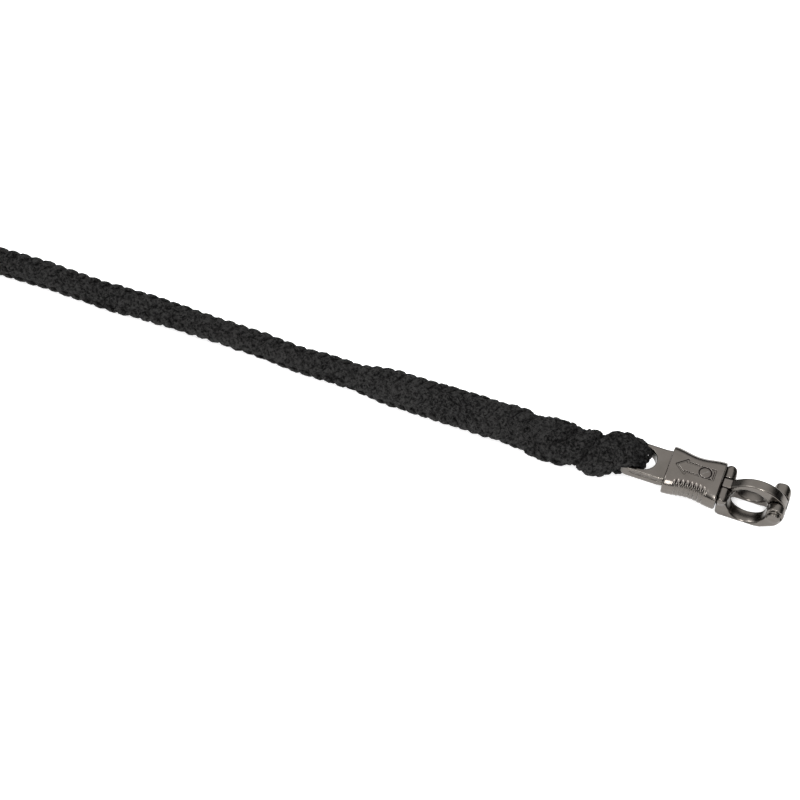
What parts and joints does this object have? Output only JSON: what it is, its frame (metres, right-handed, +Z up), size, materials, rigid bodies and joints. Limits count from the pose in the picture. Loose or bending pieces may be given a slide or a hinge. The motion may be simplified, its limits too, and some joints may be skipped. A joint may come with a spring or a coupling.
{
  "type": "lead rope",
  "caption": "Braided lead rope with a spliced eye and a quick-release panic snap whose sleeve slides back to let the jaw swing open.",
  "frame": {"origin": "on the floor below the middle of the snap with its eye and splice", "axes": "+X along the rope towards the snap's nose, +Z up, the snap lying flat on its lower jaw"},
  "size_m": [0.7953, 0.1244, 0.0349],
  "materials": {
    "braid": "matt black braided polypropylene yarn",
    "strap": "matt black woven band",
    "casting": "satin gunmetal plating on zinc die casting",
    "pin_steel": "gunmetal plated steel",
    "spring_steel": "bright spring wire"
  },
  "bodies": {
    "rope_and_body": {"rope_standing": "braid", "rope_hank": "braid", "rope_end": "strap", "hank_tie": "strap", "rope_splice": "braid", "rope_tail": "braid", "rope_tuck": "braid", "rope_eye_loop": "braid", "snap_body": "casting", "hinge_pin": "pin_steel", "release_spring": "spring_steel"},
    "sleeve": {"release_sleeve": "casting", "sleeve_pin": "pin_steel"},
    "jaw": {"hinged_jaw": "casting"}
  },
  "joints": [
    {"name": "sleeve_slide", "type": "slide", "parent": "rope_and_body", "child": "sleeve", "axis": [-1, 0, 0], "range_m": [0, 0.0085], "stiffness_N_per_m": 700, "springref_m": -0.004, "deforming": ["release_spring"]},
    {"name": "jaw_swing", "type": "hinge", "parent": "rope_and_body", "child": "jaw", "pos_m": [0.1308, 0.0016, 0.0137], "axis": [0, 1, 0], "range_deg": [0, 55]}
  ],
  "couplings": [
    {"joint": "jaw_swing", "follows": "sleeve_slide", "rad_per_m": 112.9}
  ]
}
